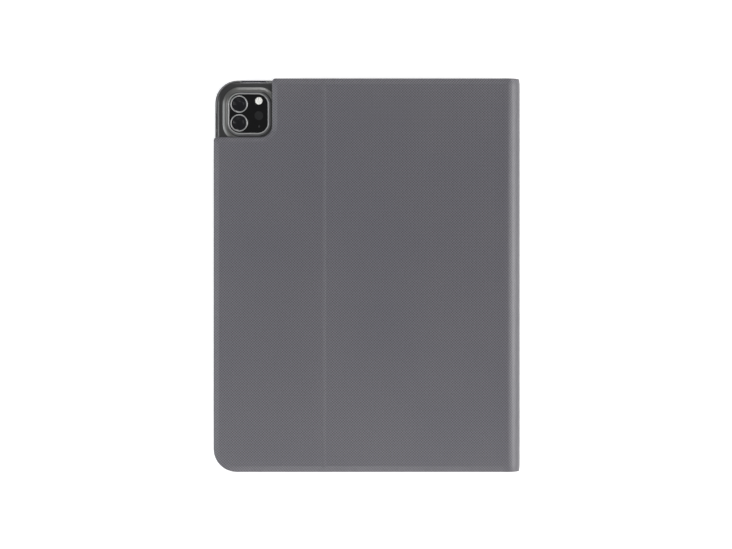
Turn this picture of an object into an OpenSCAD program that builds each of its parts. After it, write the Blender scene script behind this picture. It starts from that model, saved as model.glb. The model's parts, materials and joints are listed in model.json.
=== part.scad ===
// Folio case with a built-in keyboard for a large tablet, closed round the tablet.
// X runs along the rows of keys, the user sits on the -Y side and the spine is on the +Y side.
// The front cover, which holds the keyboard, lies on the table. The origin is at the centre of its underside.

/* [Tablet] */
// Length of the tablet's longer side
tablet_l = 280.6; // [230:0.1:340]
// Length of the tablet's shorter side
tablet_w = 214.9; // [175:0.1:260]
// Thickness of the tablet
tablet_t = 6.4; // [5:0.1:9]
// Thickness of the tablet's metal shell
tablet_shell = 0.8; // [0.6:0.1:1.5]
// Radius of the tablet's corners
tablet_r = 14.6; // [12:0.1:18]
// Thickness of the screen's glass
screen_t = 0.8; // [0.5:0.1:1.2]

/* [Camera] */
// Side of the raised camera block
camera_side = 29.9; // [29:0.1:36]
// Corner radius of the camera block
camera_r = 8.2; // [5:0.1:10]
// Height of the camera block above the tablet's back
camera_rise = 1.4; // [0.8:0.1:1.8]
// Width of the metal border round the camera glass
camera_border = 0.9; // [0.5:0.1:1.5]
// From the tablet's end to the camera block
camera_from_end = 7.8; // [5:0.1:10]
// From the tablet's side to the camera block
camera_from_side = 7.3; // [5:0.1:10]
// Outer radius of a lens ring
lens_r = 6.3; // [5:0.1:6.5]
// Width of a lens ring
lens_ring_w = 0.85; // [0.5:0.05:1.2]
// Height of a lens ring above the camera glass
lens_rise = 0.6; // [0.3:0.1:1]
// Radius of the flash
flash_r = 2.65; // [1.5:0.05:3]
// Radius of the depth sensor's window
sensor_r = 3.2; // [2:0.1:3.5]

/* [Tray] */
// Thickness of the tray's side walls
tray_wall = 1.1; // [0.8:0.1:2]
// Thickness of the tray behind the tablet
tray_floor = 1.3; // [0.9:0.1:2]
// Gap between the tray and the tablet
tray_gap = 0.1; // [0.05:0.05:0.4]
// Thickness of the lip over the screen
lip_t = 1; // [0.6:0.1:1.6]
// How far the lip reaches over the screen
lip_reach = 2; // [1:0.1:3]
// Rounding of the tray's back edge
tray_edge_r = 2.5; // [1:0.1:3]
// Gap round the camera block in the tray's opening
camera_gap = 1.05; // [0.5:0.05:1.5]
// Width of the raised guard round the camera opening
guard_w = 3.5; // [1.5:0.1:3.6]
// Height of the camera guard above the tray's back
guard_rise = 0.9; // [0.4:0.1:1.2]
// Length of a volume pad
pad_l = 11.9; // [8:0.1:14]
// Height of a volume pad, across the tray's wall
pad_h = 4.2; // [3:0.1:4.6]
// How far a volume pad stands out of the tray
pad_rise = 0.7; // [0.3:0.1:1]
// Length of the slot over the power key
power_slot_l = 17.6; // [14:0.1:20]
// Length of the tray's opening for the charging plug
plug_slot_l = 15; // [13:0.5:20]
// Height of the tray's opening for the charging plug
plug_slot_h = 5.4; // [4.2:0.1:5.6]
// Length of each speaker slot
speaker_l = 34; // [20:1:45]
// Height of each speaker slot
speaker_h = 3; // [2:0.1:4]

/* [Cover] */
// Thickness of the woven outer cover
skin_t = 0.6; // [0.4:0.1:1]
// Thickness of the stiffening boards
board_t = 1.4; // [1:0.1:2]
// Thickness of the inner lining
lining_t = 0.4; // [0.3:0.1:0.8]
// How far the covers stand past the tray's ends
end_overhang = 1.5; // [0.8:0.1:3]
// How far the covers stand past the tray on the free side
free_overhang = 1.8; // [1.2:0.1:3]
// From the tray to the outside of the spine
spine_room = 3.9; // [3.6:0.1:6]
// Radius of the covers' two free corners
cover_r = 16.6; // [10:0.1:18]
// Width of the soft border between a board and the cover's edge
border_w = 4.2; // [3:0.1:6]
// From the tray's camera opening to the edges of the corner cut-out
notch_margin = 1.2; // [1:0.1:6]
// Fillet in the corner of the cut-out
notch_fillet = 8.4; // [4:0.1:12]
// Rounding of the cut-out's two outer corners
notch_tip_r = 2.5; // [1:0.1:4]
// From the free edge to the fold across the back cover
fold_from_free = 80.1; // [60:0.1:95]
// Gap between the two back boards at the fold
fold_w = 2.6; // [2:0.1:4]

/* [Spine] */
// How far the spine's curve reaches past the hinge lines
spine_bulge = 11.2; // [9.5:0.1:14]
// Squareness of the spine's curve, where 2 is an ellipse
spine_power = 2.5; // [2.4:0.1:3]
// Thickness of the springy sheet inside the spine
spine_sheet_t = 0.3; // [0.2:0.05:0.4]
// Gap between neighbouring strips at a fold line
strip_gap = 0.3; // [0.2:0.05:0.5]

/* [Keyboard] */
// Thickness of the keyboard, from the lining to the tops of the keys
keyboard_t = 6; // [5.6:0.1:8]
// Gap between the keys and the tray's lip when the case is closed
closing_gap = 0.5; // [0.3:0.1:1.5]
// From the cover's end to the keyboard
deck_end_gap = 7; // [5:0.5:12]
// From the cover's free edge to the keyboard
deck_free_gap = 5.5; // [4:0.5:10]
// Thickness of the metal deck
deck_t = 1; // [0.8:0.1:1.5]
// Corner radius of the keyboard
deck_r = 6; // [3:0.5:9]
// Wall and floor of the lower case
case_wall = 0.9; // [0.7:0.1:1.5]
// From the keyboard's end to the first key
key_margin = 4; // [3:0.5:8]
// Distance from one row of keys to the next
row_pitch = 17; // [15:0.1:20.5]
// Depth of the function row, with its gap
function_pitch = 10; // [8:0.1:12]
// Gap between two keys
key_gap = 2; // [1.6:0.1:3]
// Gap between a key and the deck
key_clearance = 0.4; // [0.2:0.05:0.5]
// Height of the keys above the deck
key_rise = 1.2; // [0.8:0.1:1.5]
// How far a key travels
key_travel = 1.2; // [0.8:0.1:1.5]
// Thickness of a keycap
key_t = 2.2; // [1.8:0.1:2.4]
// Width of the trackpad
pad_w = 104; // [70:1:120]
// Depth of the trackpad
pad_d = 38; // [25:1:45]
// Depth of the strip that the tablet stands in
rest_w = 15; // [12:0.5:20]

/* [Hidden] */
$fn = 48;
through = 1;     // how far a cutter runs past a face

// Overall sizes
tray_l = tablet_l + 2 * (tray_gap + tray_wall);
tray_w = tablet_w + 2 * (tray_gap + tray_wall);
tray_r = tablet_r + tray_gap + tray_wall;
case_l = tray_l + 2 * end_overhang;
case_w = free_overhang + tray_w + spine_room;
cover_t = skin_t + board_t + lining_t;

// Places across the case
free_y = -case_w / 2;
hinge_y = case_w / 2 - spine_bulge;
tray_y0 = free_y + free_overhang;
tray_y1 = tray_y0 + tray_w;
tablet_y0 = tray_y0 + tray_wall + tray_gap;
tablet_y1 = tablet_y0 + tablet_w;
tablet_mid_y = (tablet_y0 + tablet_y1) / 2;
fold_y = free_y + fold_from_free;

// Camera block and the corner cut-out that shows it
camera_x = -tablet_l / 2 + camera_from_end + camera_side / 2;
camera_y = tablet_y0 + camera_from_side + camera_side / 2;
notch_x = camera_x + camera_side / 2 + camera_gap + notch_margin;
notch_y = camera_y + camera_side / 2 + camera_gap + notch_margin;

// Heights, from the table up
keys_top = cover_t + keyboard_t;
deck_top = keys_top - key_rise;
deck_bottom = deck_top - deck_t;
lip_z = keys_top + closing_gap;
tablet_z0 = lip_z + lip_t;
tablet_z1 = tablet_z0 + tablet_t;
tray_top = tablet_z1 + tray_floor;
case_t = tray_top + cover_t;
tablet_mid_z = (tablet_z0 + tablet_z1) / 2;

// Keyboard layout, in key units
deck_l = case_l - 2 * deck_end_gap;
deck_y0 = free_y + deck_free_gap;
row_units = 15;
key_unit = (deck_l - 2 * key_margin) / row_units;
deck_edge = 5;      // from the front of the deck to the trackpad, and from its rear to the function row
pad_gap = 4;        // from the trackpad to the modifier row
key_rows = 5;
deck_w = 2 * deck_edge + pad_d + pad_gap + key_rows * row_pitch + function_pitch;
deck_y1 = deck_y0 + deck_w;
keys_y1 = deck_y1 - deck_edge;
key_r = 1.8;        // corner radius of a key, seen from above
function_units = [for (i = [1 : row_units]) 1];
number_units = [for (i = [1 : 14]) i < 14 ? 1 : 2];
top_letter_units = [for (i = [1 : 14]) i == 1 || i == 14 ? 1.5 : 1];
home_units = [for (i = [1 : 13]) i == 1 ? 1.75 : i == 13 ? 2.25 : 1];
bottom_letter_units = [for (i = [1 : 12]) i == 1 ? 2.25 : i == 12 ? 2.75 : 1];
modifier_units = [1, 1, 1, 1.25, 5.25, 1.25, 1.25, 1, 1, 1];
space_index = 4;
all_rows = [function_units, number_units, top_letter_units, home_units, bottom_letter_units, modifier_units];

// Inside the keyboard
inside_gap = 0.1;
sheet_gap = 0.5;        // from the sheets under the keys to the lower case's walls
backplate_t = 0.4;
membrane_t = 0.3;
domes_t = 0.3;
dome_r = 2.5;
dome_h = 0.5;
backplate_z = cover_t + case_wall + inside_gap;
membrane_z = backplate_z + backplate_t;
domes_z = membrane_z + membrane_t;
key_plate_y0 = keys_y1 - function_pitch - key_rows * row_pitch;
trackpad_y0 = deck_y0 + deck_edge;
post_r = 2;
screw_r = 0.8;
trackpad_t = 0.8;
trackpad_travel = 0.4;
board_thickness = 0.8;

// Places on the camera block, from its middle
camera_inside = camera_side / 2 - camera_border;
lens_edge = 0.95;       // from the border to a lens ring
flash_edge = 2.2;       // from the border to the flash
sensor_edge = 3.35;     // from the border to the depth sensor
lens_offset = camera_inside - lens_edge - lens_r;
small_column = camera_inside - sensor_edge - sensor_r;
flash_row = -(camera_inside - flash_edge - flash_r);
sensor_row = 1.5;
camera_glass_t = 0.4;
camera_glass_z = tablet_z1 + camera_rise - 0.1;   // top of the camera glass, just under its border
lens_glass_drop = 0.2;

// Camera guard
guard_lip = 0.5;        // from the edge of the tray's camera opening to the guard
guard_clear = 0.4;      // from the guard to the cut-out's edges

// Side keys
pad_pitch = 13.75;      // from the first volume pad to the second
pad_from_end = 29.4;    // from the tray's end to the middle of the first volume pad
first_pad_x = -tray_l / 2 + pad_from_end;
pad_clearance = 0.15;
pad_to_key = 0.05;      // from a volume pad to the tablet's key under it
side_key_l = 10.5;
side_key_h = 2.2;
side_key_rise = 0.35;
side_key_depth = 0.5;
side_key_pocket = 1.1;
side_key_gap = 0.1;
tablet_rim = 1.2;       // width of the metal rim round the screen
battery_inset = 30;     // from the tablet's sides to its battery; more than the corner radius
power_key_from_side = 25.85;
power_key_y = tablet_y0 + power_key_from_side;
power_slot_x = tray_wall + tray_gap;    // the power slot cuts right through the tray's wall
speaker_offset = 62;    // from the tablet's middle line to a speaker slot

// Magnets
magnet_l = 18;
magnet_w = 5;
magnet_t = 1.2;
magnet_gap = 0.1;

// Charging socket and switch, in the keyboard's left wall beside the palm rest
port_l = 8.94;
port_h = 3.16;
port_deep = 7.3;
port_wall = 0.3;
port_gap = 0.1;
port_tongue_h = 0.7;
port_tongue_l = 6.7;
port_mouth = 1.2;       // from the socket's mouth to its tongue
port_y = trackpad_y0 + pad_d - 9;
port_z = deck_bottom - port_gap - port_h / 2;
switch_l = 3.4;
switch_h = 1.5;
switch_travel = 2;
switch_rise = 0.7;
switch_grip = 1.6;      // how far the switch reaches in past the wall
switch_gap = 0.2;
switch_y = port_y - 16;
switch_z = port_z;

// ---------- helpers ----------

function unit(v) = v / norm(v);
function turned(v, a) = [v[0] * cos(a) - v[1] * sin(a), v[0] * sin(a) + v[1] * cos(a)];

// Points of an outline whose corners are given as [x, y, radius]
function outline(corners, steps = 10) = [
    for (i = [0 : len(corners) - 1])
        let (c = corners[i],
             before = corners[(i + len(corners) - 1) % len(corners)],
             after = corners[(i + 1) % len(corners)],
             p = [c[0], c[1]],
             u = unit([before[0], before[1]] - p),
             v = unit([after[0], after[1]] - p),
             half = acos(u * v) / 2,
             centre = p + unit(u + v) * c[2] / sin(half),
             from = p + u * c[2] / tan(half) - centre,
             to = p + v * c[2] / tan(half) - centre,
             sweep = c[2] > 0 ? atan2(from[0] * to[1] - from[1] * to[0], from * to) : 0)
        each c[2] > 0 ? [for (k = [0 : steps]) centre + turned(from, sweep * k / steps)] : [p]
];

// Corners of a rectangle with one radius
function box_corners(x0, y0, x1, y1, r) = [[x0, y0, r], [x1, y0, r], [x1, y1, r], [x0, y1, r]];

module slab(points, z0, z1) {
    translate([0, 0, z0])
        linear_extrude(z1 - z0)
            polygon(points);
}

// A block with rounded vertical edges, given by its centre, its size and its two heights
module block(centre, size, r, z0, z1, steps = 4) {
    half = size / 2;
    slab(outline(box_corners(centre[0] - half[0], centre[1] - half[1],
                             centre[0] + half[0], centre[1] + half[1], r), steps), z0, z1);
}

// ---------- covers ----------

// The front cover's outline, drawn in by inset, up to the line y = rear
function front_corners(inset, rear) = [
    [-case_l / 2 + inset, free_y + inset, cover_r - inset],
    [case_l / 2 - inset, free_y + inset, cover_r - inset],
    [case_l / 2 - inset, rear, 0],
    [-case_l / 2 + inset, rear, 0]
];

// The back cover's outline, with the camera cut-out at its -X, -Y corner
function back_corners(inset, rear) = [
    [notch_x + inset, free_y + inset, notch_tip_r],
    [case_l / 2 - inset, free_y + inset, cover_r - inset],
    [case_l / 2 - inset, rear, 0],
    [-case_l / 2 + inset, rear, 0],
    [-case_l / 2 + inset, notch_y + inset, notch_tip_r],
    [notch_x + inset, notch_y + inset, notch_fillet + inset]
];

skin_rear = hinge_y - strip_gap / 2;
board_rear = hinge_y - fold_w / 2;

module front_cover_skin() {
    color("#6a6a70")
    difference() {
        slab(outline(front_corners(0, skin_rear)), 0, cover_t);
        slab(outline(front_corners(skin_t, skin_rear + through)), skin_t, cover_t + through);
    }
}

// Magnets in a row along X, cut out of a board or placed in it
module magnet_row(xs, y, z0, z1, grow) {
    for (x = xs)
        translate([x - magnet_l / 2 - grow, y - magnet_w / 2 - grow, z0])
            cube([magnet_l + 2 * grow, magnet_w + 2 * grow, z1 - z0]);
}

closing_magnet_xs = [-90, -30, 30, 90];
rest_magnet_xs = [-105, -63, -21, 21, 63, 105];
closing_magnet_y = free_y + 11;
rest_y0 = deck_y1 + 2;
rest_magnet_y = rest_y0 + rest_w / 2;

module front_magnet_shapes(z0, z1, grow) {
    magnet_row(closing_magnet_xs, closing_magnet_y, z0, z1, grow);
    magnet_row(rest_magnet_xs, rest_magnet_y, z0, z1, grow);
}

module front_board() {
    color("#8a7a66")
    difference() {
        slab(outline(front_corners(border_w, board_rear)), skin_t, skin_t + board_t);
        front_magnet_shapes(0, cover_t, magnet_gap);
    }
}

module front_magnets() {
    color("#b8bcc0")
        front_magnet_shapes(skin_t + magnet_gap, skin_t + magnet_gap + magnet_t, 0);
}

module front_lining() {
    color("#3c3d42")
        slab(outline(front_corners(skin_t, skin_rear)), skin_t + board_t, cover_t);
}

module back_cover_skin() {
    color("#6a6a70")
    difference() {
        slab(outline(back_corners(0, skin_rear)), tray_top, case_t);
        slab(outline(back_corners(skin_t, skin_rear + through)), tray_top - through, case_t - skin_t);
    }
}

back_board_z = tray_top + lining_t;

module back_board_free_side() {
    free_side = [[-case_l / 2 + border_w, fold_y - fold_w / 2, 0],
                 [-case_l / 2 + border_w, notch_y + border_w, notch_tip_r],
                 [notch_x + border_w, notch_y + border_w, notch_fillet + border_w],
                 [notch_x + border_w, free_y + border_w, notch_tip_r],
                 [case_l / 2 - border_w, free_y + border_w, cover_r - border_w],
                 [case_l / 2 - border_w, fold_y - fold_w / 2, 0]];
    color("#8a7a66")
        slab(outline(free_side), back_board_z, back_board_z + board_t);
}

leg_magnet_y = hinge_y - 14;
leg_magnet_xs = [-84, -28, 28, 84];

module back_board_spine_side() {
    color("#8a7a66")
    difference() {
        slab([[-case_l / 2 + border_w, fold_y + fold_w / 2], [case_l / 2 - border_w, fold_y + fold_w / 2],
              [case_l / 2 - border_w, board_rear], [-case_l / 2 + border_w, board_rear]],
             back_board_z, back_board_z + board_t);
        magnet_row(leg_magnet_xs, leg_magnet_y, tray_top, case_t, magnet_gap);
    }
}

module back_magnets() {
    color("#b8bcc0")
        magnet_row(leg_magnet_xs, leg_magnet_y, back_board_z + magnet_gap,
                   back_board_z + magnet_gap + magnet_t, 0);
}

module back_lining() {
    color("#3c3d42")
        slab(outline(back_corners(skin_t, skin_rear)), tray_top, back_board_z);
}

// ---------- spine ----------

// A point of the spine's curve, drawn in by inset, at an angle above the spine's middle
function spine_point(inset, angle) = [
    hinge_y + (spine_bulge - inset) * pow(cos(angle), 2 / spine_power),
    case_t / 2 + sign(angle) * (case_t / 2 - inset) * pow(abs(sin(angle)), 2 / spine_power)
];

// Half a gap, as an angle, at the hinge lines and where the two strips meet
hinge_trim = asin(pow(strip_gap / 2 / spine_bulge, spine_power / 2));
middle_trim = asin(pow(strip_gap / case_t, spine_power / 2));

// One layer of a spine strip, between two depths under the surface, drawn in by inset at both ends;
// side is -1 for the lower strip
module spine_layer(side, outer, inner, inset = 0) {
    steps = 14;
    span = 90 - hinge_trim - middle_trim;
    angles = [for (k = [0 : steps]) side * (middle_trim + span * k / steps)];
    points = concat([for (a = angles) spine_point(outer, a)],
                    [for (k = [steps : -1 : 0]) spine_point(inner, angles[k])]);
    translate([-case_l / 2 + inset, 0, 0])
        rotate([90, 0, 90])
            linear_extrude(case_l - 2 * inset)
                polygon(points);
}

sheet_depth = skin_t + spine_sheet_t;
spine_t = sheet_depth + lining_t;

module spine_skin_lower() {
    color("#6a6a70") spine_layer(-1, 0, skin_t);
}

module spine_sheet_lower() {
    color("#c8c4b8") spine_layer(-1, skin_t, sheet_depth, border_w);
}

module spine_lining_lower() {
    color("#3c3d42") spine_layer(-1, sheet_depth, spine_t);
}

module spine_skin_upper() {
    color("#6a6a70") spine_layer(1, 0, skin_t);
}

module spine_sheet_upper() {
    color("#c8c4b8") spine_layer(1, skin_t, sheet_depth, border_w);
}

module spine_lining_upper() {
    color("#3c3d42") spine_layer(1, sheet_depth, spine_t);
}

// ---------- tray ----------

function tray_corners(inset) = box_corners(-tray_l / 2 + inset, tray_y0 + inset,
                                           tray_l / 2 - inset, tray_y1 - inset, tray_r - inset);

function tablet_corners(inset) = box_corners(-tablet_l / 2 + inset, tablet_y0 + inset,
                                             tablet_l / 2 - inset, tablet_y1 - inset, tablet_r - inset);

// The tray's side, from its lip up to its back, as [inset, height]; both edges are rounded
tray_profile = concat(
    [for (a = [90 : -30 : 0]) [lip_t * (1 - cos(a)), lip_z + lip_t * (1 - sin(a))]],
    [for (a = [0 : 30 : 90]) [tray_edge_r * (1 - cos(a)), tray_top - tray_edge_r * (1 - sin(a))]]
);

// The tray's outside: one ring of points for each step of its profile
module tray_outside() {
    rings = [for (step = tray_profile) [for (p = outline(tray_corners(step[0]), 8)) [p[0], p[1], step[1]]]];
    n = len(rings[0]);
    last = (len(rings) - 1) * n;
    sides = [for (k = [0 : len(rings) - 2]) for (i = [0 : n - 1])
        [k * n + i, (k + 1) * n + i, (k + 1) * n + (i + 1) % n, k * n + (i + 1) % n]];
    polyhedron([for (ring = rings) each ring],
               concat([[for (i = [0 : n - 1]) i]], [[for (i = [n - 1 : -1 : 0]) last + i]], sides));
}

module camera_block(grow, z0, z1) {
    block([camera_x, camera_y], [camera_side, camera_side] + 2 * [grow, grow], camera_r + grow, z0, z1, 10);
}

function pad_x(i) = first_pad_x + i * pad_pitch;

// One side opening through the tray's end wall, given by its middle, length and height
module end_opening(side, y, length, height) {
    translate([side * tray_l / 2, y, tablet_mid_z])
        cube([2 * (tray_wall + tray_gap), length, height], center = true);
}

module tray() {
    color("#3a3a3a")
    difference() {
        tray_outside();
        slab(outline(tablet_corners(-tray_gap)), tablet_z0, tablet_z1);
        slab(outline(tablet_corners(lip_reach)), lip_z - through, tablet_z0 + through);
        camera_block(camera_gap, tablet_z1 - through, tray_top + through);
        for (i = [0, 1])
            translate([pad_x(i), tray_y0, tablet_mid_z])
                cube([pad_l + 2 * pad_clearance, 2 * (tray_wall + tray_gap), pad_h + 2 * pad_clearance],
                     center = true);
        translate([-tray_l / 2 - through, power_key_y - power_slot_l / 2, tablet_mid_z - pad_h / 2])
            cube([power_slot_x + through, power_slot_l, tray_top]);
        for (s = [-1, 1])
            end_opening(1, tablet_mid_y + s * speaker_offset, speaker_l, speaker_h);
        end_opening(-1, tablet_mid_y + speaker_offset, speaker_l, speaker_h);
        end_opening(1, tablet_mid_y, plug_slot_l, plug_slot_h);
    }
}

// The guard shows only inside the cover's corner cut-out, so it is cut back to it
module camera_guard() {
    opening = camera_gap + guard_lip;
    color("#444444")
    intersection() {
        difference() {
            camera_block(camera_gap + guard_w, tray_top, tray_top + guard_rise);
            camera_block(opening, tray_top - through, tray_top + guard_rise + through);
        }
        slab(outline([[-case_l / 2, free_y, 0], [notch_x - guard_clear, free_y, 0],
                      [notch_x - guard_clear, notch_y - guard_clear, notch_fillet - guard_clear],
                      [-case_l / 2, notch_y - guard_clear, 0]]), tray_top, case_t);
    }
}

module volume_pad(i) {
    pad_in = tray_wall + tray_gap - side_key_rise - pad_to_key;
    color("#333333")
    translate([pad_x(i) - pad_l / 2, tray_y0 - pad_rise, tablet_mid_z - pad_h / 2])
        cube([pad_l, pad_rise + pad_in, pad_h]);
}

module volume_up_pad() {
    volume_pad(0);
}

module volume_down_pad() {
    volume_pad(1);
}

// ---------- tablet ----------

module tablet_housing() {
    pocket = [side_key_l, side_key_h] + 2 * [side_key_gap, side_key_gap];
    color("#7d7d80")
    difference() {
        slab(outline(tablet_corners(0)), tablet_z0, tablet_z1);
        slab(outline(tablet_corners(tablet_rim)), tablet_z0 - through, tablet_z1 - tablet_shell);
        for (i = [0, 1])
            translate([pad_x(i) - pocket[0] / 2, tablet_y0 - through, tablet_mid_z - pocket[1] / 2])
                cube([pocket[0], side_key_pocket + through, pocket[1]]);
        translate([-tablet_l / 2 - through, power_key_y - pocket[0] / 2, tablet_mid_z - pocket[1] / 2])
            cube([side_key_pocket + through, pocket[0], pocket[1]]);
        translate([tablet_l / 2, tablet_mid_y, tablet_mid_z])
            cube([4 * tablet_rim, port_l - 2 * port_wall, port_h - 2 * port_wall], center = true);
    }
}

module tablet_battery() {
    color("#2e2e30")
        slab(outline(tablet_corners(battery_inset)), tablet_z0 + screen_t + inside_gap, tablet_z1 - tablet_shell);
}

module tablet_screen() {
    color("#0c0c0e")
        slab(outline(tablet_corners(tablet_rim + inside_gap)), tablet_z0, tablet_z0 + screen_t);
}

module tablet_volume_key(i) {
    color("#77777a")
    translate([pad_x(i) - side_key_l / 2, tablet_y0 - side_key_rise, tablet_mid_z - side_key_h / 2])
        cube([side_key_l, side_key_rise + side_key_depth, side_key_h]);
}

module tablet_volume_up_key() {
    tablet_volume_key(0);
}

module tablet_volume_down_key() {
    tablet_volume_key(1);
}

module tablet_power_key() {
    color("#77777a")
    translate([-tablet_l / 2 - side_key_rise, power_key_y - side_key_l / 2, tablet_mid_z - side_key_h / 2])
        cube([side_key_rise + side_key_depth, side_key_l, side_key_h]);
}

module camera_bezel() {
    color("#9a9a9c")
    difference() {
        camera_block(0, tablet_z1, tablet_z1 + camera_rise);
        camera_block(-camera_border, camera_glass_z - camera_glass_t, case_t);
    }
}

module camera_glass() {
    color("#101011")
        camera_block(-camera_border, camera_glass_z - camera_glass_t, camera_glass_z);
}

// The two lenses, one behind the other along X
module at_lenses() {
    for (s = [-1, 1])
        translate([camera_x + s * lens_offset, camera_y - lens_offset, camera_glass_z])
            children();
}

module lens_rings() {
    color("#b0b0b2")
    at_lenses()
        difference() {
            cylinder(r = lens_r, h = lens_rise);
            translate([0, 0, -through])
                cylinder(r = lens_r - lens_ring_w, h = lens_rise + 2 * through);
        }
}

module lens_glasses() {
    color("#151517")
    at_lenses()
        cylinder(r = lens_r - lens_ring_w, h = lens_rise - lens_glass_drop);
}

module flash_lens() {
    color("#f4f2ea")
    translate([camera_x + flash_row, camera_y + small_column, camera_glass_z])
        cylinder(r = flash_r, h = 0.1);
}

module depth_sensor_window() {
    color("#242526")
    translate([camera_x + sensor_row, camera_y + small_column, camera_glass_z])
        cylinder(r = sensor_r, h = 0.1);
}

// ---------- keyboard ----------

function sum_to(list, n, i = 0) = i < n ? list[i] + sum_to(list, n, i + 1) : 0;
function row_y1(row) = row == 0 ? keys_y1 : keys_y1 - function_pitch - (row - 1) * row_pitch;
function row_depth(row) = row == 0 ? function_pitch : row_pitch;

// One key, or its hole in the deck when grow is above zero
module key_shape(row, index, grow, z0, z1) {
    units = all_rows[row];
    x0 = -deck_l / 2 + key_margin + sum_to(units, index) * key_unit;
    size = [units[index] * key_unit - key_gap, row_depth(row) - key_gap];
    centre = [x0 + units[index] * key_unit / 2, row_y1(row) - row_depth(row) / 2];
    block(centre, size + 2 * [grow, grow], key_r + grow, z0, z1, 3);
}

module key_row(row) {
    color("#2b2c30")
    for (i = [0 : len(all_rows[row]) - 1])
        if (!(row == len(all_rows) - 1 && i == space_index))
            key_shape(row, i, 0, keys_top - key_t, keys_top);
}

module keys_function_row() {
    key_row(0);
}

module keys_number_row() {
    key_row(1);
}

module keys_top_letter_row() {
    key_row(2);
}

module keys_home_row() {
    key_row(3);
}

module keys_bottom_letter_row() {
    key_row(4);
}

module keys_modifier_row() {
    key_row(5);
}

module space_bar() {
    color("#2b2c30")
        key_shape(5, space_index, 0, keys_top - key_t, keys_top);
}

deck_corners = box_corners(-deck_l / 2, deck_y0, deck_l / 2, deck_y1, deck_r);
inner_corners = box_corners(-deck_l / 2 + case_wall, deck_y0 + case_wall,
                            deck_l / 2 - case_wall, deck_y1 - case_wall, deck_r - case_wall);
light_y = deck_y1 - deck_edge / 2;
light_xs = [deck_l / 2 - 28, deck_l / 2 - 22, deck_l / 2 - 16];
light_r = 0.8;

module keyboard_deck() {
    color("#56575c")
    difference() {
        slab(outline(deck_corners), deck_bottom, deck_top);
        for (row = [0 : len(all_rows) - 1])
            for (i = [0 : len(all_rows[row]) - 1])
                key_shape(row, i, key_clearance, deck_bottom - through, deck_top + through);
        block([0, trackpad_y0 + pad_d / 2], [pad_w, pad_d] + 2 * [key_clearance, key_clearance],
              3 + key_clearance, deck_bottom - through, deck_top + through);
        for (x = light_xs)
            translate([x, light_y, deck_bottom - through])
                cylinder(r = light_r, h = deck_t + 2 * through);
    }
}

// The posts stand in the two front corners, beside the trackpad and along the rear edge
post_inset = 4;
post_places = [
    for (x = [-deck_l / 2 + post_inset, deck_l / 2 - post_inset])
        for (y = [deck_y0 + post_inset, key_plate_y0 - pad_gap]) [x, y]
];

module keyboard_lower_case() {
    floor_z = cover_t + case_wall;
    color("#333438")
    difference() {
        union() {
            difference() {
                slab(outline(deck_corners), cover_t, deck_bottom);
                slab(outline(inner_corners), floor_z, deck_bottom + through);
            }
            for (p = post_places)
                translate([p[0], p[1], cover_t])
                    cylinder(r = post_r, h = deck_bottom - cover_t);
        }
        for (p = post_places)
            translate([p[0], p[1], cover_t - through])
                cylinder(r = screw_r, h = deck_bottom);
        translate([-deck_l / 2 - through, port_y - port_l / 2 - port_gap, port_z - port_h / 2 - port_gap])
            cube([port_deep + 2 * through, port_l + 2 * port_gap, deck_bottom]);
        translate([-deck_l / 2, switch_y + switch_travel / 2, switch_z])
            cube([4 * case_wall, switch_l + switch_travel + 2 * switch_gap, switch_h + 2 * switch_gap],
                 center = true);
    }
}

module case_screws() {
    color("#c0c0c4")
    for (p = post_places)
        translate([p[0], p[1], cover_t + 0.2])
            cylinder(r = screw_r - 0.05, h = deck_bottom - cover_t - 0.3);
}

// A sheet under the keys, clear of the lower case's walls
module key_sheet(z0, z1) {
    side = deck_l / 2 - case_wall - sheet_gap;
    slab(outline(box_corners(-side, key_plate_y0, side, keys_y1, 1)), z0, z1);
}

module key_backplate() {
    color("#9a9da2")
        key_sheet(backplate_z, membrane_z);
}

module membrane_circuit() {
    color("#d8c27a")
        key_sheet(membrane_z, domes_z);
}

module dome_sheet() {
    color("#dfe3e6")
    union() {
        key_sheet(domes_z, domes_z + domes_t);
        for (row = [1 : len(all_rows) - 1])
            for (i = [0 : len(all_rows[row]) - 1]) {
                units = all_rows[row];
                x = -deck_l / 2 + key_margin + (sum_to(units, i) + units[i] / 2) * key_unit;
                translate([x, row_y1(row) - row_depth(row) / 2, domes_z])
                    cylinder(r = dome_r, h = domes_t + dome_h);
            }
    }
}

trackpad_z1 = deck_top - 0.1;

module trackpad() {
    color("#4a4b50")
        block([0, trackpad_y0 + pad_d / 2], [pad_w, pad_d], 3, trackpad_z1 - trackpad_t, trackpad_z1);
}

module trackpad_board() {
    top = trackpad_z1 - trackpad_t - trackpad_travel - 0.1;
    color("#1f5a3c")
        block([0, trackpad_y0 + pad_d / 2], [pad_w - 4, pad_d - 4], 2, top - board_thickness, top);
}

module main_board() {
    color("#1f5a3c")
        block([0, trackpad_y0 + pad_d / 2], [pad_w - 10, pad_d - 8], 2, backplate_z, backplate_z + board_thickness);
}

module batteries() {
    battery_l = (deck_l - pad_w) / 2 - 16;
    color("#c9ccd0")
    for (s = [-1, 1])
        block([s * (pad_w / 2 + 4 + battery_l / 2), trackpad_y0 + pad_d / 2], [battery_l, pad_d - 6], 2,
              backplate_z, deck_bottom - 0.2);
}

module charge_port() {
    x0 = -deck_l / 2 + port_gap;
    back_t = 1;
    color("#a8abb0")
    difference() {
        translate([x0, port_y - port_l / 2, port_z - port_h / 2])
            cube([port_deep, port_l, port_h]);
        difference() {
            translate([x0 - through, port_y - port_l / 2 + port_wall, port_z - port_h / 2 + port_wall])
                cube([port_deep - back_t + through, port_l - 2 * port_wall, port_h - 2 * port_wall]);
            translate([x0 + port_mouth, port_y - port_tongue_l / 2, port_z - port_tongue_h / 2])
                cube([port_deep, port_tongue_l, port_tongue_h]);
        }
    }
}

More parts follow.
